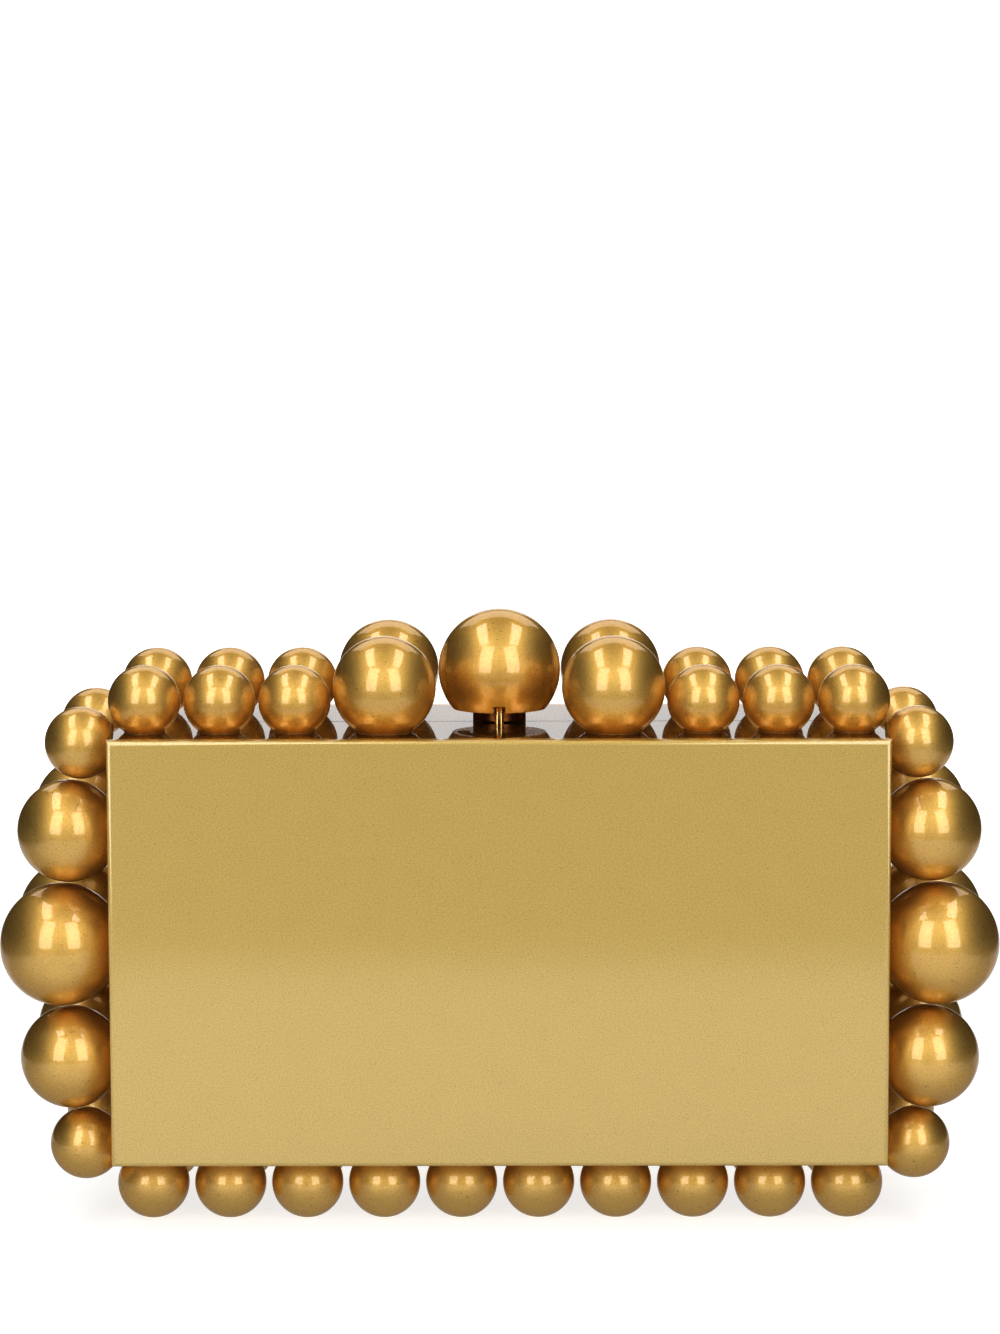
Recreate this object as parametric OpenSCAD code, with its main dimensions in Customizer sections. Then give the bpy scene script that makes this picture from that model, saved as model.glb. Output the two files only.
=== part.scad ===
// Evening bag: a hard box clutch. Two shallow halves meet at an upright seam and open on a
// continuous hinge under the bottom. Beads with a flat ground on them are cemented all round
// the rim of each half. The large bead on top turns to lock the halves together.
// X runs along the bag, the front faces -Y, Z is up, and the origin is on the floor
// under the middle of the seam. Each half is drawn for the rear and mirrored for the front.

/* [Case] */
// Width of the case
case_w = 150; // [140:1:170]
// Height of the case
case_h = 83; // [83:0.5:90]
// Depth of one half, from the seam plane to its panel's outer face
half_d = 28; // [28:0.5:32]
// Thickness of the panels and walls
wall = 3; // [2.5:0.5:3.5]
// Bevel on the panels' outer edges
bevel = 1; // [0.5:0.1:1.5]
// Gap between the two halves at the seam
seam_gap = 0.4; // [0.2:0.1:0.8]

/* [Beads] */
// Diameter of a small bead
small_d = 14; // [13:0.5:14]
// Diameter of a medium bead
medium_d = 20; // [18:0.5:20]
// Diameter of a large bead
large_d = 24; // [22:0.5:24]
// Distance from a bead's centre to its ground flat, as a share of its radius
bead_seat = 0.86; // [0.8:0.01:0.92]
// Distance from the seam plane to the row of beads on each half
bead_row_y = 15; // [15:0.5:16]
// Gap between neighbouring beads on the sides
side_bead_gap = 0.4; // [0.3:0.1:0.6]
// Gap between neighbouring beads on the top
top_bead_gap = 0.55; // [0.3:0.05:0.8]
// Height of the middle side bead above the floor
side_middle_z = 54.4; // [54:0.1:55]
// Distance from the middle to a medium bead on the top
top_medium_x = 22.2; // [22:0.1:23]
// Number of beads under the bottom of each half
bottom_beads = 10; // [8:1:10]
// Spacing of the beads under the bottom
bottom_pitch = 15.1; // [14.6:0.1:15.4]

/* [Closure] */
// Distance from the seam plane back to the axis that the closure bead turns on
closure_y = 2.5; // [2.3:0.1:2.8]
// Distance from the closure bead's centre to its flat underside, as a share of its radius
closure_flat = 0.64; // [0.6:0.01:0.7]
// Diameter of the collar under the closure bead
collar_d = 10.4; // [9:0.2:11]
// Height of the collar
collar_h = 2.3; // [2:0.1:2.6]
// Distance from the seam plane forward to the stud
stud_y = 4.6; // [4.4:0.1:4.8]
// Diameter of the stud
stud_d = 1.8; // [1.4:0.1:1.8]
// Depth of the groove that the stud runs in
groove_depth = 1.4; // [1.2:0.1:2]
// Angle that the closure bead turns through
closure_turn = 90; // [60:5:100]

/* [Hinge] */
// Number of knuckles, the outer ones on the rear leaf
knuckles = 9; // [5:2:11]
// Length of one knuckle with its share of the gap
knuckle_pitch = 14; // [10:1:14]
// Outer diameter of a knuckle
knuckle_d = 3; // [2.8:0.1:3]
// Diameter of the hinge pin
pin_d = 1.6; // [1.4:0.1:1.8]
// Thickness of a leaf
leaf = 0.8; // [0.6:0.1:0.9]
// Distance from the seam plane to a leaf's outer edge
leaf_reach = 7.6; // [7:0.1:7.8]

/* [Lining] */
// Thickness of the padded board on the panel
pad = 1.2; // [1:0.1:2]
// Thickness of the border on the walls
border = 1; // [0.8:0.1:1.5]

/* [Hidden] */
HALVES = ["front", "rear"];
SIDES = ["left", "right"];
PLACES = ["corner", "upper", "middle", "lower", "foot"];
HALF_NODES = ["panel", "top_wall", "bottom_wall", "left_wall", "right_wall",
              "lining_pad", "lining_border", "hinge_leaf", "hinge_screws", "bottom_beads"];
$fn = 64;
cut = 1;                                     // how far a cutting shape runs past what it cuts

small_r = small_d / 2;
medium_r = medium_d / 2;
large_r = large_d / 2;
seam_y = seam_gap / 2;                       // edge of the rear half's walls
case_z = small_r * (1 + bead_seat);          // underside of the case, on its lowest beads
case_top = case_z + case_h;
inner_w = case_w - 2 * wall;
inner_h = case_h - 2 * wall;
wall_d = half_d - wall - seam_y;             // depth of the walls behind the panel

// Rise from one bead's centre to the next along a face, for beads whose flats share that face
function bead_step(a, b, gap) = sqrt(pow(a + b + gap, 2) - pow(bead_seat * (a - b), 2));
side_reach = [bead_step(large_r, medium_r, side_bead_gap), bead_step(medium_r, small_r, side_bead_gap)];
side_z = [side_middle_z + side_reach[0] + side_reach[1],
          side_middle_z + side_reach[0],
          side_middle_z,
          side_middle_z - side_reach[0],
          side_middle_z - side_reach[0] - side_reach[1]];
side_r = [small_r, medium_r, large_r, medium_r, small_r];
top_beads = 3;
top_pitch = small_d + top_bead_gap;
top_first_x = top_medium_x + bead_step(medium_r, small_r, top_bead_gap);

bearing_gap = 0.1;                           // closure bead above its collar
flat_z = case_top + collar_h + bearing_gap;  // the closure bead's underside
closure_z = flat_z + large_r * closure_flat;
overhang_gap = 0.3;                          // collar above the front half
screw_r = 1.25;
screw_head_r = 2.2;
screw_head_h = 1.5;
screw_thread = 6;                            // length of the screw in its insert
running = 0.05;                              // radial clearance of a running fit
insert_r = 2.2;
insert_h = 8;
plate_w = 16;
plate_d = 9;
plate_t = 0.8;
washer_r = 2.25;
washer_t = 0.5;
groove_radius = closure_y + stud_y;
groove_play = 0.3;                           // each side of the stud
groove_r = stud_d / 2 + groove_play;
groove_over = 4;                             // degrees of groove past each end of the turn
stud_grip = 1;                               // length of the stud inside the groove
nut_r = 2.2;
nut_t = 1.4;

axis_drop = 1.8;                             // hinge axis below the case
axis_z = case_z - axis_drop;
knuckle_gap = 0.2;
leaf_start = 1.9;                            // a leaf's edge beside the other leaf's knuckles
web_t = 0.5;
hinge_len = knuckles * knuckle_pitch;
leaf_screws_x = [-48, -16, 16, 48];
leaf_screw_y = 5.2;
leaf_screw_r = 0.7;
leaf_screw_head_r = 1.4;
leaf_screw_head_h = 0.6;
leaf_screw_len = 2.6;                        // of the shank, inside the wall

border_back = 0.4;                           // border's edge behind the wall's edge
fit_gap = 0.02;

// Mirrors what is drawn for the rear half when it belongs to the front half
module on(half) {
    mirror([0, half == "front" ? 1 : 0, 0]) children();
}

// A block given by its lowest and highest corners
module block(low, high) {
    translate(low) cube(high - low);
}

// ---- Case ----

// Bevelled outline of a panel in one direction: l is its length, its inner face is at 0
module bevelled(l) {
    polygon([[-l / 2, 0], [l / 2, 0], [l / 2, wall - bevel], [l / 2 - bevel, wall],
             [-l / 2 + bevel, wall], [-l / 2, wall - bevel]]);
}

module panel(half) {
    color("goldenrod") on(half) translate([0, half_d - wall, case_z + case_h / 2])
    intersection() {
        translate([0, 0, -case_h / 2]) linear_extrude(case_h) bevelled(case_w);
        rotate([0, -90, 0]) translate([0, 0, -case_w / 2]) linear_extrude(case_w) bevelled(case_h);
    }
}

module leaf_screw_bores(r) {
    for (x = leaf_screws_x) translate([x, leaf_screw_y, case_z - leaf - cut])
        cylinder(r = r, h = leaf + leaf_screw_len + cut);
}

module top_wall(half) {
    color("gold") difference() {
        on(half) block([-case_w / 2, seam_y, case_top - wall], [case_w / 2, seam_y + wall_d, case_top]);
        if (half == "rear") translate([0, closure_y, case_top - wall - cut])
            cylinder(r = screw_r + 2 * running, h = wall + 2 * cut);
        if (half == "front") translate([0, -stud_y, case_top - wall - cut])
            cylinder(r = stud_d / 2 + fit_gap, h = wall + 2 * cut);
    }
}

module bottom_wall(half) {
    color("gold") on(half) difference() {
        block([-case_w / 2, seam_y, case_z], [case_w / 2, seam_y + wall_d, case_z + wall]);
        leaf_screw_bores(leaf_screw_r + fit_gap);
    }
}

module side_wall(half, side) {
    x = side == "left" ? -case_w / 2 : inner_w / 2;
    color("gold") on(half)
        block([x, seam_y, case_z + wall], [x + wall, seam_y + wall_d, case_top - wall]);
}

// ---- Lining ----

module lining_pad(half) {
    color("tan") on(half) block([-inner_w / 2 + fit_gap, half_d - wall - pad, case_z + wall + fit_gap],
                                [inner_w / 2 - fit_gap, half_d - wall, case_top - wall - fit_gap]);
}

module lining_border(half) {
    edge_y = seam_y + border_back;
    notch = half == "front" ? [2 * nut_r + 2, stud_y + nut_r + 1] : [plate_w + 1, edge_y + plate_d + 0.5];
    color("wheat") on(half) difference() {
        block([-inner_w / 2 + fit_gap, edge_y, case_z + wall + fit_gap],
              [inner_w / 2 - fit_gap, half_d - wall - pad, case_top - wall - fit_gap]);
        block([-inner_w / 2 + border, edge_y - cut, case_z + wall + border],
              [inner_w / 2 - border, half_d, case_top - wall - border]);
        block([-notch[0] / 2, 0, case_top - wall - 2 * border], [notch[0] / 2, notch[1], case_top]);
    }
}

// ---- Beads ----

// A ball with one flat ground on it, at the origin, facing along -Z
module bead(r, seat = bead_seat) {
    difference() {
        sphere(r);
        block([-r - cut, -r - cut, -r - cut], [r + cut, r + cut, -r * seat]);
    }
}

module bottom_row(half) {
    first_x = -(bottom_beads - 1) / 2 * bottom_pitch;
    color("darkgoldenrod") on(half) for (i = [0 : bottom_beads - 1])
        translate([first_x + i * bottom_pitch, bead_row_y, small_r]) rotate([180, 0, 0]) bead(small_r);
}

// Turns what is drawn for the right side to the left when needed
module to(side) {
    mirror([side == "left" ? 1 : 0, 0, 0]) children();
}

module top_small_beads(half, side) {
    color("darkgoldenrod") on(half) to(side) for (i = [0 : top_beads - 1])
        translate([top_first_x + i * top_pitch, bead_row_y, case_top + small_r * bead_seat]) bead(small_r);
}

module top_medium_bead(half, side) {
    color("darkgoldenrod") on(half) to(side)
        translate([top_medium_x, bead_row_y, case_top + medium_r * bead_seat]) bead(medium_r);
}

module side_bead(half, side, i) {
    color("darkgoldenrod") on(half) to(side)
        translate([case_w / 2 + side_r[i] * bead_seat, bead_row_y, side_z[i]]) rotate([0, 90, 0]) bead(side_r[i]);
}

// ---- Hinge ----

// True for the knuckles of the rear leaf: the first, the third and so on
function rear_owns(i) = i % 2 == 0;

module hinge_leaf(half) {
    bore_r = pin_d / 2 + (half == "rear" ? 0 : running);
    color("peru") on(half) difference() {
        union() {
            block([-hinge_len / 2, leaf_start, case_z - leaf], [hinge_len / 2, leaf_reach, case_z]);
            for (i = [0 : knuckles - 1]) if (rear_owns(i) == (half == "rear"))
                translate([(i - knuckles / 2) * knuckle_pitch + knuckle_gap / 2, 0, axis_z]) {
                    rotate([0, 90, 0]) cylinder(d = knuckle_d, h = knuckle_pitch - knuckle_gap);
                    block([0, 0, knuckle_d / 2 - web_t],
                          [knuckle_pitch - knuckle_gap, leaf_start + web_t, knuckle_d / 2]);
                }
        }
        translate([-hinge_len / 2 - cut, 0, axis_z]) rotate([0, 90, 0])
            cylinder(r = bore_r, h = hinge_len + 2 * cut);
        leaf_screw_bores(leaf_screw_r + fit_gap);
    }
}

module hinge_screws(half) {
    color("silver") on(half) for (x = leaf_screws_x) translate([x, leaf_screw_y, case_z - leaf]) union() {
        translate([0, 0, -leaf_screw_head_h]) cylinder(r = leaf_screw_head_r, h = leaf_screw_head_h);
        cylinder(r = leaf_screw_r, h = leaf + leaf_screw_len);
    }
}

module hinge_pin() {
    color("silver") translate([-hinge_len / 2, 0, axis_z]) rotate([0, 90, 0]) cylinder(d = pin_d, h = hinge_len);
}

// ---- Closure ----

// Bearing for the closure bead. It stands on the rear half and overhangs the front one.
module clasp_collar() {
    color("saddlebrown") difference() {
        translate([0, closure_y, case_top]) cylinder(d = collar_d, h = collar_h);
        translate([0, closure_y, case_top - cut]) cylinder(r = screw_r + running, h = collar_h + 2 * cut);
        block([-collar_d, -collar_d, case_top - cut], [collar_d, seam_y, case_top + overhang_gap]);
    }
}

module clasp_backing_plate() {
    plate_start = seam_y + border_back;
    color("peru") difference() {
        block([-plate_w / 2, plate_start, case_top - wall - plate_t],
              [plate_w / 2, plate_start + plate_d, case_top - wall]);
        translate([0, closure_y, case_top - wall - plate_t - cut])
            cylinder(r = screw_r + 2 * running, h = plate_t + 2 * cut);
    }
}

module clasp_stud() {
    color("gold") translate([0, -stud_y, case_top - wall - nut_t])
        cylinder(d = stud_d, h = nut_t + wall + flat_z + stud_grip - case_top);
}

module stud_nut() {
    color("peru") translate([0, -stud_y, case_top - wall - nut_t]) difference() {
        cylinder(r = nut_r, h = nut_t, $fn = 6);
        translate([0, 0, -cut]) cylinder(d = stud_d, h = nut_t + 2 * cut);
    }
}

// Groove in the underside, seen with the bead unlocked: its mouth faces the front
module stud_groove() {
    start = -90 - closure_turn - groove_over;
    sweep = closure_turn + 2 * groove_over;
    top = groove_depth + cut;
    translate([0, 0, -cut]) {
        rotate([0, 0, start]) rotate_extrude(angle = sweep, $fn = 96)
            translate([groove_radius - groove_r, 0]) square([2 * groove_r, top]);
        for (a = [start, start + sweep]) rotate([0, 0, a]) translate([groove_radius, 0, 0])
            cylinder(r = groove_r, h = top);
        block([-groove_r, -large_r, 0], [groove_r, -groove_radius, top]);
    }
}

module closure_bead() {
    color("darkgoldenrod") translate([0, closure_y, closure_z]) difference() {
        bead(large_r, closure_flat);
        translate([0, 0, flat_z - closure_z]) stud_groove();
        translate([0, 0, flat_z - closure_z - cut]) cylinder(r = insert_r, h = insert_h + cut);
    }
}

module closure_insert() {
    color("peru") translate([0, closure_y, flat_z]) difference() {
        cylinder(r = insert_r, h = insert_h);
        translate([0, 0, -cut]) cylinder(r = screw_r, h = screw_thread + cut);
    }
}

module closure_screw() {
    head_z = case_top - wall - plate_t - washer_t - screw_head_h;
    color("silver") translate([0, closure_y, head_z]) union() {
        cylinder(r = screw_head_r, h = screw_head_h);
        cylinder(r = screw_r, h = flat_z + screw_thread - head_z);
    }
}

module spring_washer() {
    color("dimgray") translate([0, closure_y, case_top - wall - plate_t - washer_t]) difference() {
        cylinder(r = washer_r, h = washer_t);
        translate([0, 0, -cut]) cylinder(r = screw_r + fit_gap, h = washer_t + 2 * cut);
    }
}

for (half = HALVES) {
    panel(half);
    top_wall(half);
    bottom_wall(half);
    lining_pad(half);
    lining_border(half);
    hinge_leaf(half);
    hinge_screws(half);
    bottom_row(half);
    for (side = SIDES) {
        side_wall(half, side);
        top_small_beads(half, side);
        top_medium_bead(half, side);
        for (i = [0 : len(PLACES) - 1])
            side_bead(half, side, i);
    }
}
hinge_pin();
clasp_collar();
clasp_backing_plate();
clasp_stud();
stud_nut();
closure_bead();
closure_insert();
closure_screw();
spring_washer();
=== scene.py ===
import math

import bmesh
import bpy
from mathutils import Matrix, Vector, noise
from mathutils.geometry import tessellate_polygon


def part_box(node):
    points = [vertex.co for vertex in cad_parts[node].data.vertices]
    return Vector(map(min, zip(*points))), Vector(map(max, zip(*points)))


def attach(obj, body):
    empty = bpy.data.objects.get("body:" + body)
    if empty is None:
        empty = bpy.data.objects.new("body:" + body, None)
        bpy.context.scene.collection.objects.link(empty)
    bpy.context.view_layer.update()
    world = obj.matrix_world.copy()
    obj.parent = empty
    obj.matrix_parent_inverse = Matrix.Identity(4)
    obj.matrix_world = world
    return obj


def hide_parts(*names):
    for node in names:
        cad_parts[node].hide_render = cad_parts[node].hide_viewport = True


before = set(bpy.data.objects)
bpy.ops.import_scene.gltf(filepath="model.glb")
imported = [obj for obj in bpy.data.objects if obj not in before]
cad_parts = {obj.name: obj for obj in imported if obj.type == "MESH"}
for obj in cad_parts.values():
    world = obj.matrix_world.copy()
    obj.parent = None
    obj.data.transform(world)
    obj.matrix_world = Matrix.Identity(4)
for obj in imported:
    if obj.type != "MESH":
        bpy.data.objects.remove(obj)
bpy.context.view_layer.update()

MM = 0.001
HALVES = ("front", "rear")
SIDES = ("left", "right")
PLACES = ("corner", "upper", "middle", "lower", "foot")
TOP_ROW = 3                     # small beads at each end of a half's top
BOTTOM_ROW = 10                 # small beads under a half
BODY = {"front": "front_half", "rear": "rear_half"}


# ---- Camera ----

CAMERA_PLACE = Vector((0.0041, -0.8009, 0.2026))
CAMERA_YAW = math.radians(-0.282)
CAMERA_PITCH = math.radians(6.822)
CAMERA_ROLL = math.radians(-0.139)
CAMERA_LENS = 110.51


def make_camera():
    data = bpy.data.cameras.new("camera")
    data.sensor_width = 36
    data.lens = CAMERA_LENS
    data.clip_start, data.clip_end = 0.02, 60
    camera = bpy.data.objects.new("camera", data)
    bpy.context.scene.collection.objects.link(camera)
    ahead = Vector((math.sin(CAMERA_YAW) * math.cos(CAMERA_PITCH),
                    math.cos(CAMERA_YAW) * math.cos(CAMERA_PITCH), -math.sin(CAMERA_PITCH)))
    level = Vector((math.cos(CAMERA_YAW), -math.sin(CAMERA_YAW), 0))
    upright = level.cross(ahead)
    right = level * math.cos(CAMERA_ROLL) + upright * math.sin(CAMERA_ROLL)
    up = upright * math.cos(CAMERA_ROLL) - level * math.sin(CAMERA_ROLL)
    turn = Matrix((right, up, -ahead)).transposed()
    camera.matrix_world = Matrix.Translation(CAMERA_PLACE) @ turn.to_4x4()
    bpy.context.scene.camera = camera


# ---- Node helpers ----

class Nodes:
    """A material's node tree, with short calls for the nodes used here."""

    def __init__(self, name):
        self.material = bpy.data.materials.new(name)
        self.material.use_nodes = True
        self.tree = self.material.node_tree
        self.tree.nodes.clear()
        self.shader = self.add("ShaderNodeBsdfPrincipled")
        out = self.add("ShaderNodeOutputMaterial")
        self.link(self.shader.outputs["BSDF"], out.inputs["Surface"])
        self.place = self.add("ShaderNodeTexCoord").outputs["Object"]

    def add(self, kind, **settings):
        node = self.tree.nodes.new(kind)
        for key, value in settings.items():
            setattr(node, key, value)
        return node

    def link(self, a, b):
        self.tree.links.new(a, b)

    def set(self, **values):
        for key, value in values.items():
            self.shader.inputs[key.replace("_", " ")].default_value = value

    def noise(self, size, detail=2.0, rough=0.5):
        """Noise whose features are about size metres across, 0 to 1."""
        node = self.add("ShaderNodeTexNoise")
        node.inputs["Scale"].default_value = 1 / size
        node.inputs["Detail"].default_value = detail
        node.inputs["Roughness"].default_value = rough
        self.link(self.place, node.inputs["Vector"])
        return node.outputs["Fac"]

    def cells(self, size):
        """Distance from the middle of scattered cells about size metres across."""
        node = self.add("ShaderNodeTexVoronoi", feature="F1")
        node.inputs["Scale"].default_value = 1 / size
        self.link(self.place, node.inputs["Vector"])
        return node.outputs["Distance"]

    def ramp(self, value, stops):
        """Maps value through (position, colour or grey) stops."""
        node = self.add("ShaderNodeValToRGB")
        elements = node.color_ramp.elements
        while len(elements) < len(stops):
            elements.new(0.5)
        for element, (at, tone) in zip(elements, stops):
            element.position = at
            element.color = (*tone, 1) if isinstance(tone, tuple) else (tone, tone, tone, 1)
        self.link(value, node.inputs["Fac"])
        return node.outputs["Color"]

    def mix(self, how, amount, a, b):
        node = self.add("ShaderNodeMix", data_type="RGBA", blend_type=how)
        for key, value in (("Factor", amount), ("A", a), ("B", b)):
            socket = node.inputs[key]
            if isinstance(value, bpy.types.NodeSocket):
                self.link(value, socket)
            elif isinstance(value, tuple):
                socket.default_value = (*value, 1)
            else:
                socket.default_value = value
        return node.outputs["Result"]

    def math(self, how, a, b):
        node = self.add("ShaderNodeMath", operation=how)
        for socket, value in zip(node.inputs, (a, b)):
            if isinstance(value, bpy.types.NodeSocket):
                self.link(value, socket)
            else:
                socket.default_value = value
        return node.outputs["Value"]

    def fade(self, value, start, end):
        """0 to 1 as value goes from start to end, smoothly."""
        node = self.add("ShaderNodeMapRange", interpolation_type="SMOOTHSTEP")
        node.inputs["From Min"].default_value = min(start, end)
        node.inputs["From Max"].default_value = max(start, end)
        if start > end:
            node.inputs["To Min"].default_value = 1
            node.inputs["To Max"].default_value = 0
        self.link(value, node.inputs["Value"])
        return node.outputs["Result"]

    def bump(self, height, depth):
        node = self.add("ShaderNodeBump")
        node.inputs["Distance"].default_value = depth
        self.link(height, node.inputs["Height"])
        self.link(node.outputs["Normal"], self.shader.inputs["Normal"])


# ---- Materials ----

GOLD = (0.98, 0.85, 0.51)
PANEL_GOLD = (0.865, 0.685, 0.278)
WALL_GOLD = (0.85, 0.57, 0.20)
FLOP = (0.25, 0.08, 0.012)      # what the bead flakes' reflection falls to at a grazing angle
PANEL_FLOP = (0.55, 0.26, 0.06)
WALL_FLOP = (0.10, 0.06, 0.02)
LACQUER = (0.98, 0.78, 0.45)    # tint of the clear lacquer over the beads


def metallic_paint(name, colour, rough, flake, coat_rough, flop, speck=0.5, contrast=0.14, patch=0.5,
                   coat_ior=2.0, lacquer=(1, 1, 1)):
    """Gold flake paint under a thick clear lacquer. flake is the depth of its grain in millimetres."""
    m = Nodes(name)
    grain = m.noise(0.28 * MM, detail=3.0, rough=0.65)
    patches = m.noise(7 * MM, detail=3.0)
    deep = tuple(c * (1 - contrast * (1 + 0.5 * i)) for i, c in enumerate(colour))
    bright = tuple(min(1, c * (1 + contrast * 0.6)) for c in colour)
    base = m.ramp(grain, [(0.28, deep), (0.50, colour), (0.72, bright)])
    base = m.mix("MULTIPLY", patch, base, m.ramp(patches, [(0.3, 0.90), (0.7, 1.0)]))
    specks = m.ramp(m.cells(0.8 * MM), [(0.08, 0.50), (0.26, 1.0)])
    sparse = m.math("MULTIPLY", m.fade(m.noise(2.2 * MM), 0.55, 0.63), speck)
    base = m.mix("MULTIPLY", sparse, base, specks)
    m.link(base, m.shader.inputs["Base Color"])
    m.set(Metallic=1.0, Specular_Tint=(*flop, 1), Coat_Weight=1.0, Coat_Roughness=coat_rough,
          Coat_IOR=coat_ior, Coat_Tint=(*lacquer, 1))
    uneven = m.ramp(m.noise(0.5 * MM, detail=4), [(0.25, rough - 0.05), (0.75, rough + 0.05)])
    m.link(uneven, m.shader.inputs["Roughness"])
    m.bump(m.noise(0.25 * MM, detail=3.0), flake * MM)
    return m.material


def polished_metal(name, colour, rough):
    m = Nodes(name)
    smear = m.noise(3 * MM, detail=3)
    m.link(m.mix("MULTIPLY", 0.5, colour, m.ramp(smear, [(0.3, 0.82), (0.7, 1.0)])),
           m.shader.inputs["Base Color"])
    m.set(Metallic=1.0)
    m.link(m.ramp(m.noise(0.8 * MM, detail=4), [(0.3, rough * 0.7), (0.7, rough * 1.5)]),
           m.shader.inputs["Roughness"])
    m.bump(m.noise(1.5 * MM), 0.004 * MM)
    return m.material


def suede(name, colour, dark):
    m = Nodes(name)
    nap = m.noise(0.35 * MM, detail=5, rough=0.7)
    brushed = m.noise(11 * MM, detail=3)
    tone = m.ramp(nap, [(0.3, dark), (0.65, colour)])
    tone = m.mix("MULTIPLY", 0.6, tone, m.ramp(brushed, [(0.35, 0.74), (0.65, 1.0)]))
    m.link(tone, m.shader.inputs["Base Color"])
    m.set(Roughness=0.95, Sheen_Weight=0.25, Sheen_Roughness=0.4, Sheen_Tint=(0.75, 0.48, 0.28, 1))
    m.bump(nap, 0.12 * MM)
    return m.material


def cement_contact_shade():
    m = Nodes("cement_contact_shade")
    # Dark orange-brown: painted shade along the line where each bead meets the wall.
    m.link(m.ramp(m.noise(0.8 * MM), [(0.3, (0.34, 0.17, 0.04)), (0.7, (0.45, 0.25, 0.07))]),
           m.shader.inputs["Base Color"])
    m.set(Metallic=0.3, Roughness=0.45)
    return m.material


bead_paint = metallic_paint("bead_paint", GOLD, rough=0.53, flake=0.012, coat_rough=0.075, flop=FLOP,
                            speck=0.8, coat_ior=1.7, lacquer=LACQUER)
panel_paint = metallic_paint("panel_paint", PANEL_GOLD, rough=0.60, flake=0.008, coat_rough=0.12,
                             flop=PANEL_FLOP, speck=0.3, contrast=0.16, patch=0.15)
wall_paint = metallic_paint("wall_paint", WALL_GOLD, rough=0.26, flake=0.001, coat_rough=0.015,
                            flop=WALL_FLOP, speck=0.1, contrast=0.08)
gold_metal = polished_metal("gold_metal", (0.95, 0.70, 0.33), 0.20)
dark_metal = polished_metal("dark_metal", (0.66, 0.43, 0.19), 0.20)
# The clasp collar's dark brown is painted shade: the shade under the closure bead's overhang.
collar_shade_metal = polished_metal("collar_shade_metal", (0.22, 0.10, 0.035), 0.30)
steel_metal = polished_metal("steel_metal", (0.72, 0.71, 0.69), 0.18)
lining_suede = suede("lining_suede", (0.36, 0.22, 0.11), (0.20, 0.11, 0.05))
thread = suede("thread", (0.62, 0.43, 0.22), (0.40, 0.26, 0.12))
bead_contact_shade = cement_contact_shade()


# ---- Mesh helpers ----

SHARP_EDGE = math.radians(35)   # faces that meet at more than this look creased


def piece_from(name, bm, materials, body, stands_for=()):
    """Turns a bmesh into a named piece that rides on a body."""
    mesh = bpy.data.meshes.new(name)
    bmesh.ops.recalc_face_normals(bm, faces=bm.faces)
    bm.to_mesh(mesh)
    bm.free()
    for material in materials:
        mesh.materials.append(material)
    mesh.polygons.foreach_set("use_smooth", [True] * len(mesh.polygons))
    piece = bpy.data.objects.new(name, mesh)
    bpy.context.scene.collection.objects.link(piece)
    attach(piece, body)
    if stands_for:
        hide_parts(*stands_for)
    return piece


def lathe(bm, profile, place, segments=64, material=0):
    """Turns a profile of (radius, height) points about place's Z axis. A radius of 0 closes to a point."""
    rings = []
    for radius, height in profile:
        if radius == 0:
            rings.append([bm.verts.new(place @ Vector((0, 0, height)))])
            continue
        turns = (2 * math.pi * i / segments for i in range(segments))
        rings.append([bm.verts.new(place @ Vector((radius * math.cos(a), radius * math.sin(a), height)))
                      for a in turns])
    for low, high in zip(rings, rings[1:]):
        for i in range(segments):
            j = (i + 1) % segments
            if len(low) == 1:
                face = bm.faces.new((low[0], high[j], high[i]))
            elif len(high) == 1:
                face = bm.faces.new((low[i], low[j], high[0]))
            else:
                face = bm.faces.new((low[i], low[j], high[j], high[i]))
            face.material_index = material


def aim(place, toward):
    """Matrix at place whose -Z axis points toward."""
    return Matrix.Translation(place) @ (-toward).to_track_quat("Z", "Y").to_matrix().to_4x4()


# ---- Beads ----

FLAT_EDGE = 0.25 * MM           # rounding of the edge of a bead's ground flat
CEMENT_RISE = 0.18 * MM


def bead_profile(radius, seat, steps=34):
    """Half outline of a ball with a ground flat, from the flat's centre to the far pole."""
    flat = radius * seat
    start = math.acos(seat)
    rim = math.sqrt(radius ** 2 - flat ** 2)
    points = [(0, -flat), (rim * 0.5, -flat), (rim - FLAT_EDGE, -flat),
              (rim - FLAT_EDGE * 0.3, -flat + FLAT_EDGE * 0.12)]
    first = start + FLAT_EDGE * 1.2 / radius
    for i in range(steps):
        angle = first + (math.pi - first) * i / steps
        points.append((radius * math.sin(angle), -radius * math.cos(angle)))
    return points + [(0, radius)]


def cement_profile(radius, seat):
    """Outline of the fillet of cement between a bead and the wall."""
    flat = radius * seat
    rim = math.sqrt(radius ** 2 - flat ** 2)
    top = flat - CEMENT_RISE
    high = math.sqrt(radius ** 2 - top ** 2)
    reach = high + CEMENT_RISE * 0.6
    return [(reach, -flat), (reach - 0.10 * MM, -flat + 0.06 * MM), (high + 0.06 * MM, -flat + 0.16 * MM),
            (high - 0.02 * MM, -top), (rim * 0.9, -top)]


def bead_spots(node, toward, count=1):
    """Centre and radius of each bead in a node. Its flat faces toward."""
    low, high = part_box(node)
    radius = (high.y - low.y) / 2
    start, end = Vector(low) + Vector((radius,) * 3), Vector(high) - Vector((radius,) * 3)
    centre = (start + end) / 2
    for axis in (0, 2):
        if toward[axis] > 0:
            centre[axis] = start[axis]
        elif toward[axis] < 0:
            centre[axis] = end[axis]
    if count == 1:
        return [(centre, radius)]
    pitch = (end.x - start.x) / (count - 1)
    return [(Vector((start.x + i * pitch, centre.y, centre.z)), radius) for i in range(count)]


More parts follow.
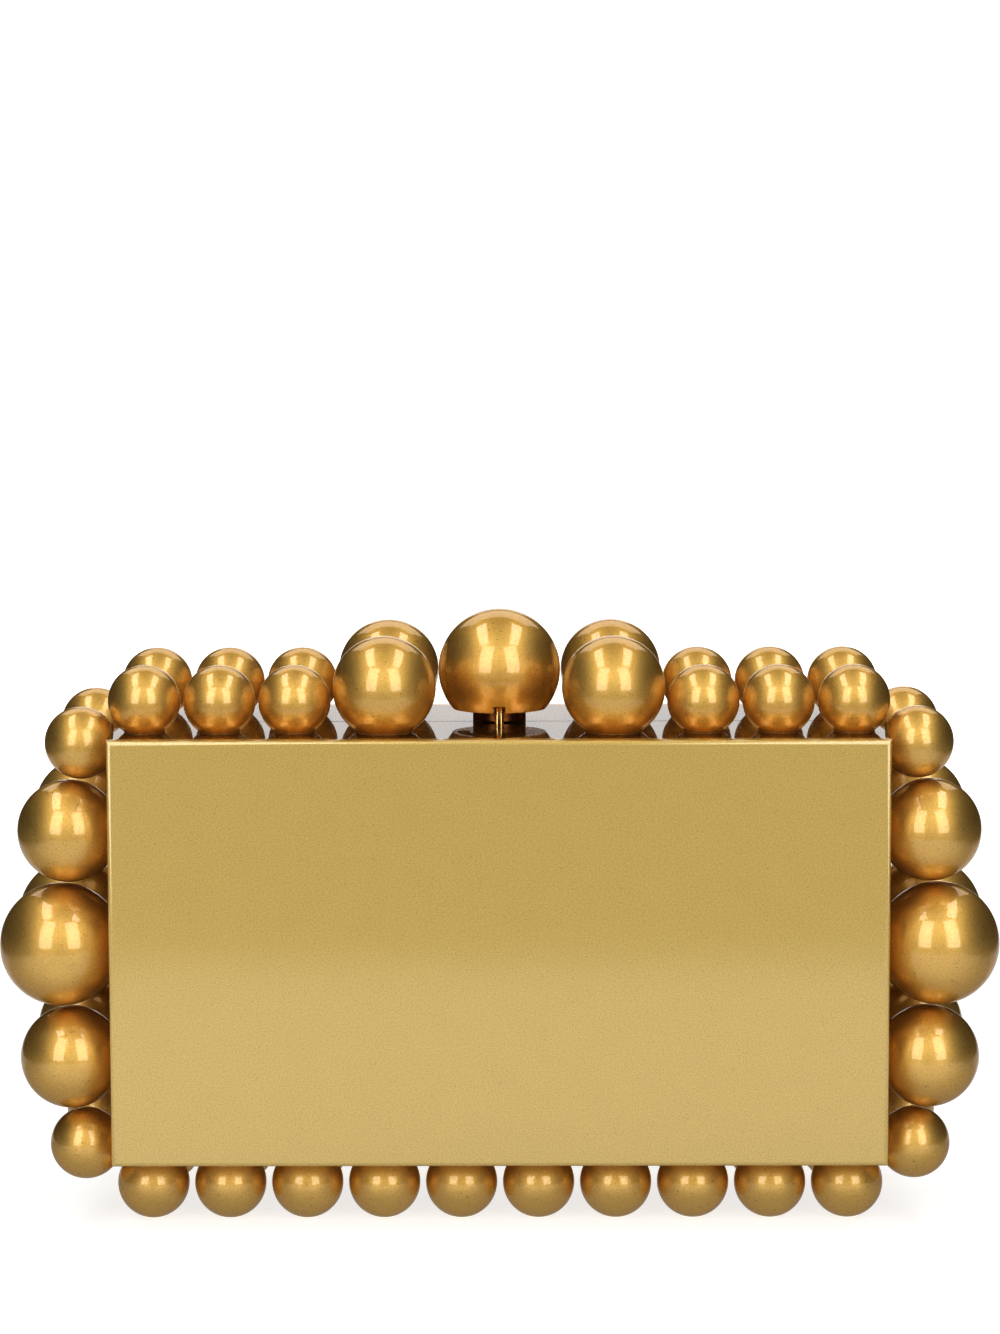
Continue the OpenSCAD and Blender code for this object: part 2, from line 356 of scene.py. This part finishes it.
def make_beads(node, half, toward, count=1):
    bm = bmesh.new()
    low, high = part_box(node)
    for centre, radius in bead_spots(node, toward, count):
        face = high if max(toward) > 0 else low
        axis = [abs(t) for t in toward].index(1)
        seat = abs(face[axis] - centre[axis]) / radius
        place = aim(centre, toward)
        lathe(bm, bead_profile(radius, seat), place)
        # The cement ring carries painted shade where the bead meets the wall.
        lathe(bm, cement_profile(radius, seat), place, segments=48, material=1)
    piece_from(f"{node}_painted", bm, [bead_paint, bead_contact_shade], BODY[half], [node])


LEFT_WALL, RIGHT_WALL = Vector((1, 0, 0)), Vector((-1, 0, 0))
UP, DOWN = Vector((0, 0, 1)), Vector((0, 0, -1))


def make_all_beads():
    for half in HALVES:
        make_beads(f"{half}_bottom_beads", half, UP, BOTTOM_ROW)
        for side in SIDES:
            make_beads(f"{half}_top_beads_{side}", half, DOWN, TOP_ROW)
            make_beads(f"{half}_top_medium_bead_{side}", half, DOWN)
            for place in PLACES:
                make_beads(f"{half}_{side}_{place}_bead", half, LEFT_WALL if side == "left" else RIGHT_WALL)


# ---- Case ----

PANEL_RIM = 1.0 * MM            # rounding of the panel's outer edge


def paint(node, material, bevel=0.0):
    """Gives a CAD node its material, and a small edge break where the real part has one."""
    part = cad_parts[node]
    part.data.materials.clear()
    part.data.materials.append(material)
    if bevel:
        edge = part.modifiers.new("edge", "BEVEL")
        edge.width = bevel
        edge.segments = 2
        edge.limit_method = "ANGLE"
        edge.angle_limit = math.radians(40)
        edge.harden_normals = False


def make_panel(half):
    """The outer panel: a plate with a rounded rim."""
    node = f"{half}_panel"
    low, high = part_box(node)
    bm = bmesh.new()
    bmesh.ops.create_cube(bm, size=1)
    bmesh.ops.scale(bm, vec=high - low, verts=bm.verts)
    bmesh.ops.translate(bm, vec=(low + high) / 2, verts=bm.verts)
    outer_y = low.y if half == "front" else high.y
    rim = [e for e in bm.edges if all(abs(v.co.y - outer_y) < 1e-6 for v in e.verts)]
    bmesh.ops.bevel(bm, geom=rim, offset=PANEL_RIM, segments=4, profile=0.62, affect="EDGES")
    piece = piece_from(f"{node}_painted", bm, [panel_paint], BODY[half], [node])
    piece.data.set_sharp_from_angle(angle=SHARP_EDGE)


def make_case():
    for half in HALVES:
        make_panel(half)
        for name in ("top_wall", "bottom_wall", "left_wall", "right_wall"):
            paint(f"{half}_{name}", wall_paint, 0.15 * MM)


# ---- Lining ----

BORDER = 0.9 * MM               # thickness of the suede on the walls
STITCH, STITCH_PITCH = 2.0 * MM, 2.9 * MM
THREAD_RADIUS = 0.17 * MM
LINING_CORNER = 1.2 * MM
PAD_SEAM = 5 * MM               # distance of the pad's seam from its edge
SEAM_SPREAD = 0.55 * MM         # how far from the seam its groove reaches
PAD_TUCK, PAD_CROWN = 4 * MM, 26 * MM           # widths of the tucked edge and of the crown's rise
HEM_SEAM = 1.5 * MM             # distance of the border's seam from its edge
HEM_REACH = 0.52 * MM           # the soft hem stands this far out of its solid, to meet the other half's
NOTCH = {"front": (6.4 * MM, 7.8 * MM), "rear": (17 * MM, 10.1 * MM)}   # width, and depth from the seam plane


def ring_path(low, high, corner, step):
    """Points and inward directions round a rounded rectangle in X and Z, from the middle of its top."""
    path = []
    wide, tall = (high.x - low.x) / 2 - corner, (high.z - low.z) / 2 - corner
    centre = (low + high) / 2
    corners = [(wide, tall, 90), (wide, -tall, 0), (-wide, -tall, -90), (-wide, tall, -180)]
    outline = [(0.0, tall + corner, 90)]
    for x, z, start in corners:
        for i in range(7):
            angle = math.radians(start - 15 * i)
            outline.append((x + corner * math.cos(angle), z + corner * math.sin(angle), start - 15 * i))
    outline.append((0.0, tall + corner, 90))
    for (x0, z0, a0), (x1, z1, a1) in zip(outline, outline[1:]):
        run = math.hypot(x1 - x0, z1 - z0)
        parts = max(1, round(run / step))
        turn = a0 if parts > 1 else (a0 + (a1 if abs(a1 - a0) < 90 else a0)) / 2
        inward = Vector((-math.cos(math.radians(turn)), 0, -math.sin(math.radians(turn))))
        for i in range(parts):
            t = i / parts
            path.append((centre + Vector((x0 + (x1 - x0) * t, 0, z0 + (z1 - z0) * t)), inward))
    return path


def add_stitch(bm, centre, along, out):
    """One short thread stitch, sunk at both ends."""
    across = along.cross(out)
    rings = []
    for i in range(7):
        t = i / 6 * 2 - 1
        thick = THREAD_RADIUS * math.sqrt(max(0.06, 1 - t ** 4))
        middle = centre + along * t * STITCH / 2 + out * (THREAD_RADIUS * 0.55 - 0.22 * MM * t ** 4)
        rings.append([bm.verts.new(middle + thick * (across * math.cos(a) + out * math.sin(a)))
                      for a in (math.tau * k / 8 for k in range(8))])
    for low, high in zip(rings, rings[1:]):
        for k in range(8):
            bm.faces.new((low[k], low[(k + 1) % 8], high[(k + 1) % 8], high[k]))
    bm.faces.new(rings[0])
    bm.faces.new(rings[-1][::-1])


def add_strip(bm, loops):
    """Skins a run of closed cross sections and caps its ends."""
    rings = [[bm.verts.new(p) for p in loop] for loop in loops]
    for a, b in zip(rings, rings[1:]):
        for k in range(len(a)):
            n = (k + 1) % len(a)
            bm.faces.new((a[k], a[n], b[n], b[k]))
    bm.faces.new(rings[0])
    bm.faces.new(rings[-1][::-1])


def border_section(point, inward, start, end, into):
    """The suede's outline at one place: glued flat outside, a rolled hem at its open edge."""
    length = abs(end - start)
    inner = [(0.0, 0.78), (length - 3 * MM, 0.80), (length - 1.9 * MM, 0.78), (length - HEM_SEAM, 0.60),
             (length - 1.1 * MM, 0.82), (length - 0.7 * MM, 0.97), (length - 0.3 * MM, 0.90), (length, 0.55)]
    outer = [(length, 0.06), (length - 3 * MM, 0.02), (0.0, 0.02)]
    loop = []
    for depth, thick in inner + outer:
        soft = 0.05 * noise.noise(Vector((point.x, depth, point.z)) * 140) if thick > 0.5 else 0
        loop.append(Vector((point.x, start + into * depth, point.z)) + inward * BORDER * (thick + soft))
    return loop


def make_border(half, stitching):
    """Suede glued round the inside of the walls, cut out over the clasp's hardware."""
    node = f"{half}_lining_border"
    low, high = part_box(node)
    into = 1 if half == "front" else -1
    start, end = (low.y, high.y) if half == "front" else (high.y, low.y)
    end += into * HEM_REACH
    width, depth = NOTCH[half]
    notch_end = -into * depth
    path = ring_path(low, high, LINING_CORNER, 2.5 * MM)
    bm = bmesh.new()
    main = [(p, n) for p, n in path if abs(p.x) > width / 2 or p.z < 0]
    edges = [Vector((side * width / 2, 0, high.z)) for side in (1, -1)]
    main = [(edges[0], Vector((0, 0, -1)))] + main + [(edges[1], Vector((0, 0, -1)))]
    add_strip(bm, [border_section(p, n, start, end, into) for p, n in main])
    across = [Vector((width / 2 - width * i / 6, 0, high.z)) for i in range(7)]
    add_strip(bm, [border_section(p, Vector((0, 0, -1)), start, notch_end, into) for p in across])
    piece_from(f"{node}_suede", bm, [lining_suede], BODY[half], [node])
    seam_y = end - into * HEM_SEAM
    for point, inward in ring_path(low, high, LINING_CORNER, STITCH_PITCH):
        if point.z > 0 and abs(point.x) < width / 2 + STITCH / 2:
            continue
        along = Vector((inward.z, 0, -inward.x)).normalized()
        place = Vector((point.x, seam_y, point.z)) + inward * BORDER * 0.62
        add_stitch(stitching, place, along, inward)


def pad_lines(low, high):
    """Grid lines across a pad, close together at its edges and seams."""
    edge = [0, 0.3, 0.8, 1.6, 2.6, 3.8, 4.4, 4.75, 5.0, 5.25, 5.6, 6.2, 7.5, 9.5]
    near = [low + d * MM for d in edge]
    far = [high - d * MM for d in reversed(edge)]
    count = round((far[0] - near[-1]) / (3 * MM))
    return near + [near[-1] + (far[0] - near[-1]) * i / count for i in range(1, count)] + far


def make_pad(half, stitching):
    """A suede-covered pad on the inside of the panel: crowned, tucked in at its edges and sewn round."""
    node = f"{half}_lining_pad"
    low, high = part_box(node)
    into = 1 if half == "front" else -1
    back = low.y if half == "front" else high.y
    full = high.y - low.y
    xs, zs = pad_lines(low.x, high.x), pad_lines(low.z, high.z)

    def thickness(x, z):
        edge = min(x - low.x, high.x - x, z - low.z, high.z - z)
        tuck = min(1.0, edge / PAD_TUCK)
        crown = 0.55 + 0.30 * math.sin(tuck * math.pi / 2)
        far = min(1.0, edge / PAD_CROWN)
        crown += 0.14 * math.sin(far * math.pi / 2)
        seam = math.exp(-((edge - PAD_SEAM) / SEAM_SPREAD) ** 2)
        ripple = 0.03 * noise.noise(Vector((x, 0, z)) * 60)
        return full * (crown - 0.22 * seam + ripple)

    bm = bmesh.new()
    front = [[bm.verts.new((x, back + into * thickness(x, z), z)) for z in zs] for x in xs]
    rear = [[bm.verts.new((x, back, z)) for z in zs] for x in xs]
    for i in range(len(xs) - 1):
        for j in range(len(zs) - 1):
            bm.faces.new((front[i][j], front[i + 1][j], front[i + 1][j + 1], front[i][j + 1]))
            bm.faces.new((rear[i][j], rear[i][j + 1], rear[i + 1][j + 1], rear[i + 1][j]))
    for i in range(len(xs) - 1):
        for j in (0, len(zs) - 1):
            bm.faces.new((front[i][j], front[i + 1][j], rear[i + 1][j], rear[i][j]))
    for j in range(len(zs) - 1):
        for i in (0, len(xs) - 1):
            bm.faces.new((front[i][j], front[i][j + 1], rear[i][j + 1], rear[i][j]))
    pad = piece_from(f"{node}_suede", bm, [lining_suede], BODY[half], [node])
    inset = Vector((PAD_SEAM, 0, PAD_SEAM))
    for point, inward in ring_path(low + inset, high - inset, 3 * MM, STITCH_PITCH):
        along = Vector((inward.z, 0, -inward.x)).normalized()
        place = Vector((point.x, back + into * (thickness(point.x, point.z) + 0.06 * MM), point.z))
        add_stitch(stitching, place, along, Vector((0, into, 0)))


def make_lining():
    for half in HALVES:
        stitching = bmesh.new()
        make_pad(half, stitching)
        make_border(half, stitching)
        piece_from(f"{half}_lining_stitching", stitching, [thread], BODY[half])


# ---- Hardware ----

HINGE_SCREW_PLACES = (-48 * MM, -16 * MM, 16 * MM, 48 * MM)
HINGE_SCREW = (1.4 * MM, 0.6 * MM, 0.7 * MM)    # head radius, head height, shank radius
CLOSURE_SCREW = (2.2 * MM, 1.5 * MM, 1.25 * MM)
FIRST_TURN, NEXT_TURN = 23, 37                  # degrees; each screw has stopped at its own angle
WASHER_BORE, WASHER_EDGE = 1.28 * MM, 0.08 * MM
STUD_FLAT = math.radians(40)                    # half the angle that the stud's flat spans
STUD_CHAMFER = 0.15 * MM


def add_screw(bm, place, head_radius, head_height, shank_radius, length):
    """A pan-head screw with a cross recess. Its head's face is at place's origin, looking along -Z."""
    lathe(bm, [(head_radius * 0.80, 0), (head_radius * 0.93, head_height * 0.12),
               (head_radius, head_height * 0.45), (head_radius, head_height), (shank_radius, head_height),
               (shank_radius, length), (0, length)],
          place, segments=40)
    rim = [Vector((head_radius * 0.80 * math.cos(a), head_radius * 0.80 * math.sin(a), 0))
           for a in (math.tau * k / 40 for k in range(40))]
    arm, reach, depth = head_radius * 0.13, head_radius * 0.60, head_height * 0.5
    cross = [(reach, -arm), (reach, arm), (arm, arm), (arm, reach), (-arm, reach), (-arm, arm), (-reach, arm),
             (-reach, -arm), (-arm, -arm), (-arm, -reach), (arm, -reach), (arm, -arm)]
    mouth = [Vector((x, y, 0)) for x, y in cross]
    points = rim + mouth
    corners = [bm.verts.new(place @ p) for p in points]
    for triangle in tessellate_polygon([rim, mouth]):
        bm.faces.new([corners[k] for k in triangle])
    floor = [bm.verts.new(place @ Vector((p.x * 0.7, p.y * 0.7, depth))) for p in mouth]
    upper = corners[len(rim):]
    for k in range(len(cross)):
        n = (k + 1) % len(cross)
        bm.faces.new((upper[k], upper[n], floor[n], floor[k]))
    bm.faces.new(floor)


def finish_screws(bm, name, body, node):
    bmesh.ops.remove_doubles(bm, verts=bm.verts, dist=1e-7)
    piece = piece_from(name, bm, [steel_metal], body, [node])
    piece.data.set_sharp_from_angle(angle=SHARP_EDGE)


def make_screws():
    for half in HALVES:
        node = f"{half}_hinge_screws"
        low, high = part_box(node)
        bm = bmesh.new()
        for i, x in enumerate(HINGE_SCREW_PLACES):
            turn = Matrix.Rotation(math.radians(FIRST_TURN + NEXT_TURN * i), 4, "Z")
            place = Matrix.Translation((x, (low.y + high.y) / 2, low.z)) @ turn
            add_screw(bm, place, *HINGE_SCREW, high.z - low.z)
        finish_screws(bm, f"{node}_cross_head", BODY[half], node)
    low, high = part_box("closure_screw")
    bm = bmesh.new()
    place = Matrix.Translation(((low.x + high.x) / 2, (low.y + high.y) / 2, low.z))
    add_screw(bm, place, *CLOSURE_SCREW, high.z - low.z)
    finish_screws(bm, "closure_screw_cross_head", "closure", "closure_screw")


def make_spring_washer():
    """A split washer."""
    low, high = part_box("spring_washer")
    centre = (low + high) / 2
    inner, outer = WASHER_BORE, (high.x - low.x) / 2
    edge = WASHER_EDGE
    section = [(inner, low.z + edge), (inner + edge, low.z), (outer - edge, low.z), (outer, low.z + edge),
               (outer, high.z - edge), (outer - edge, high.z), (inner + edge, high.z), (inner, high.z - edge)]
    loops = []
    for i in range(49):
        angle = math.radians(5 + 350 * i / 48)
        loops.append([Vector((centre.x + r * math.cos(angle), centre.y + r * math.sin(angle), z))
                      for r, z in section])
    bm = bmesh.new()
    add_strip(bm, loops)
    ring = piece_from("spring_washer_split", bm, [steel_metal], "closure", ["spring_washer"])
    ring.data.set_sharp_from_angle(angle=math.radians(50))


def make_stud():
    """The stud: a pin with a flat milled along its front, its flat's edges rounded."""
    low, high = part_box("clasp_stud")
    centre = (low + high) / 2
    radius = (high.x - low.x) / 2
    outline = []
    for k in range(40):
        angle = -math.pi / 2 + STUD_FLAT + (math.tau - 2 * STUD_FLAT) * k / 39
        outline.append((radius * math.cos(angle), radius * math.sin(angle)))
    chord = -radius * math.cos(STUD_FLAT)
    half_chord = radius * math.sin(STUD_FLAT)
    for x, out in ((-0.88, 0.045), (-0.72, 0.075), (-0.50, 0.09), (0.50, 0.09), (0.72, 0.075), (0.88, 0.045)):
        outline.append((half_chord * x, chord - out * MM))
    bm = bmesh.new()
    rings = [(0.84, low.z), (1.0, low.z + STUD_CHAMFER), (1.0, high.z - STUD_CHAMFER), (0.84, high.z)]
    add_strip(bm, [[Vector((centre.x + x * s, centre.y + y * s, z)) for x, y in outline] for s, z in rings])
    stud = piece_from("clasp_stud_milled", bm, [gold_metal], "front_half", ["clasp_stud"])
    stud.data.set_sharp_from_angle(angle=math.radians(42))


def make_hardware():
    for half in HALVES:
        paint(f"{half}_hinge_leaf", dark_metal, 0.10 * MM)
    paint("hinge_pin", steel_metal, 0.12 * MM)
    # Dark brown collar: painted shade under the closure bead.
    paint("clasp_collar", collar_shade_metal, 0.12 * MM)
    paint("clasp_backing_plate", dark_metal, 0.2 * MM)
    paint("stud_nut", gold_metal, 0.15 * MM)
    paint("closure_bead", bead_paint, 0.3 * MM)
    paint("closure_insert", gold_metal)
    make_screws()
    make_spring_washer()
    make_stud()


# ---- Stage ----

FLOOR_HALF, CARD_HALF = 9, 8
FLOOR_ALBEDO, DARK_ALBEDO = 0.36, 0.02
# The floor's glow is painted light: weakest close to the bag, a painted shade round it, and stronger away
# from it.
FLOOR_GLOW = 0.80
FAR_GLOW = 0.35                 # what the floor adds away from the bag
FLOOR_FADE = (0.15, 0.75)       # over these distances from the bag
CARD_HEIGHT = 0.3 * MM
CARD_FADE = (0.10, 0.60)        # the same behind the bag, for the table that reflects
# Glow of the card: painted reflection of the table, with painted shade close to the bag.
TABLE_TONE = 0.75
SHADED_TONE = 0.43              # the same table close to the bag, in its shade
SHADE_FADE = (0.028, 0.07)      # where the shade ends, from the seam plane
ROOM_TONE = 0.05                # the dark room beyond the table
TABLE_EDGE = (-0.31, -0.29)     # where the pale table begins, in front of the bag
TABLE_SIDE = (0.34, 0.22)       # where it ends, to the bag's sides
WHITE_GLOW = 1.15
BACKDROP_HALF, BACKDROP_PLACE, BACKDROP_HEIGHT = 0.40, 1.9, 0.9
SURROUND_RADIUS, SURROUND_HEIGHT = 4.0, 3.0
WORLD_TONE = 0.025
PHOTO_GAMMA = 0.72              # a product photograph's contrast

# Each light: place, target, width, height and power. The first two are pairs, mirrored in X.
FRONT_LIGHT = ((0.70, -1.36, 0.82), (0, 0, 0.3), 0.72, 1.60, 10.5)
OVERHEAD_LIGHT = ((0.51, -0.08, 1.175), (0.51, 0.188, 0.211), 0.34, 1.08, 4.0)
CEILING_LIGHT = ((0, 1.25, 1.25), (0, 0, 0.1), 2.0, 0.9, 8.0)


def make_clearance():
    """A hidden box the size of the front half. It opens the floor where the opened half dips below it."""
    low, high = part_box("front_panel")
    seam_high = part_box("front_top_wall")[1]
    bm = bmesh.new()
    bmesh.ops.create_cube(bm, size=1)
    size = Vector((high.x - low.x, seam_high.y - low.y, high.z - low.z))
    bmesh.ops.scale(bm, vec=size, verts=bm.verts)
    bmesh.ops.translate(bm, vec=low + size / 2, verts=bm.verts)
    mesh = bpy.data.meshes.new("clearance")
    bm.to_mesh(mesh)
    bm.free()
    box = bpy.data.objects.new("clearance", mesh)
    bpy.context.scene.collection.objects.link(box)
    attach(box, "front_half")
    box.hide_render = True
    return box


def glowing(name, albedo, glow=0.0):
    """A matt stage material that glows white."""
    m = Nodes(name)
    m.set(Base_Color=(albedo, albedo, albedo, 1), Roughness=0.9, Emission_Color=(1, 1, 1, 1),
          Emission_Strength=glow)
    return m


def add_stage(name, mesh, m, unseen_by=()):
    mesh.materials.append(m.material)
    item = bpy.data.objects.new(name, mesh)
    bpy.context.scene.collection.objects.link(item)
    for rays in unseen_by:
        setattr(item, f"visible_{rays}", False)
    return item


def make_sheet(name, m, corners, clearance=None, unseen_by=()):
    """A flat stage sheet, opened where the front half passes through it."""
    mesh = bpy.data.meshes.new(name)
    mesh.from_pydata(corners, [], [(0, 1, 2, 3)])
    sheet = add_stage(name, mesh, m, unseen_by)
    if clearance:
        opening = sheet.modifiers.new("opening", "BOOLEAN")
        opening.operation = "DIFFERENCE"
        opening.object = clearance


def level_corners(half, height):
    return [(-half, -half, height), (half, -half, height), (half, half, height), (-half, half, height)]


def make_floor(clearance):
    m = glowing("floor", FLOOR_ALBEDO)
    m.set(Specular_IOR_Level=0.1)
    # The glow is painted light, lower close to the bag as painted shade.
    reach = m.add("ShaderNodeVectorMath", operation="LENGTH")
    m.link(m.place, reach.inputs[0])
    far = m.math("MULTIPLY", m.fade(reach.outputs["Value"], *FLOOR_FADE), FAR_GLOW)
    m.link(m.math("ADD", far, FLOOR_GLOW), m.shader.inputs["Emission Strength"])
    make_sheet("floor", m, level_corners(FLOOR_HALF, 0), clearance)


def make_card(clearance):
    """A glowing card on the floor that shows only in reflections: a painted reflection of a pale table in a
    dark room, with painted shade close to the bag.
    """
    m = glowing("card", DARK_ALBEDO)
    split = m.add("ShaderNodeSeparateXYZ")
    m.link(m.place, split.inputs["Vector"])
    across = m.math("ABSOLUTE", split.outputs["X"], 0)
    along = split.outputs["Y"]
    clear = m.fade(m.math("ABSOLUTE", along, 0), *SHADE_FADE)
    table = m.math("ADD", m.math("MULTIPLY", clear, TABLE_TONE - SHADED_TONE), SHADED_TONE - ROOM_TONE)
    table = m.math("ADD", table, m.math("MULTIPLY", m.fade(along, *CARD_FADE), FAR_GLOW))
    edge = m.math("MULTIPLY", m.fade(along, *TABLE_EDGE), m.fade(across, *TABLE_SIDE))
    glow = m.math("ADD", m.math("MULTIPLY", edge, table), ROOM_TONE)
    m.link(glow, m.shader.inputs["Emission Strength"])
    make_sheet("card", m, level_corners(CARD_HALF, CARD_HEIGHT), clearance, ("camera", "diffuse", "shadow"))


def make_backdrop():
    half, back, height = BACKDROP_HALF, BACKDROP_PLACE, BACKDROP_HEIGHT
    make_sheet("backdrop", glowing("backdrop", DARK_ALBEDO, WHITE_GLOW),
               [(-half, back, 0), (half, back, 0), (half, back, height), (-half, back, height)])


def make_surround():
    """A pale wall round the stage, for the camera only, so that no view looks into the dark room."""
    bm = bmesh.new()
    lathe(bm, [(SURROUND_RADIUS, 0), (SURROUND_RADIUS, SURROUND_HEIGHT)], Matrix.Identity(4))
    mesh = bpy.data.meshes.new("surround")
    bm.to_mesh(mesh)
    bm.free()
    add_stage("surround", mesh, glowing("surround", DARK_ALBEDO, WHITE_GLOW), ("diffuse", "glossy", "shadow"))


def softbox(name, side, place, target, width, height, power):
    """A rectangular light. side is 1, or -1 for its mirror image in X."""
    data = bpy.data.lights.new(name, "AREA")
    data.shape = "RECTANGLE"
    data.size, data.size_y = width, height
    data.energy = power
    light = bpy.data.objects.new(name, data)
    bpy.context.scene.collection.objects.link(light)
    mirror = Vector((side, 1, 1))
    place = Vector(place) * mirror
    back = place - Vector(target) * mirror
    light.matrix_world = Matrix.Translation(place) @ back.to_track_quat("Z", "Y").to_matrix().to_4x4()
    light.visible_camera = False


def make_lights():
    for side in (-1, 1):
        softbox(f"front_{side}", side, *FRONT_LIGHT)
        softbox(f"overhead_{side}", side, *OVERHEAD_LIGHT)
    softbox("ceiling", 1, *CEILING_LIGHT)
    world = bpy.data.worlds.new("studio")
    world.use_nodes = True
    world.node_tree.nodes["Background"].inputs["Color"].default_value = (*(WORLD_TONE,) * 3, 1)
    bpy.context.scene.world = world
    bpy.context.scene.view_settings.view_transform = "Standard"
    bpy.context.scene.view_settings.gamma = PHOTO_GAMMA


make_camera()
make_case()
make_all_beads()
make_lining()
make_hardware()
clearance = make_clearance()
make_floor(clearance)
make_card(clearance)
make_backdrop()
make_surround()
make_lights()
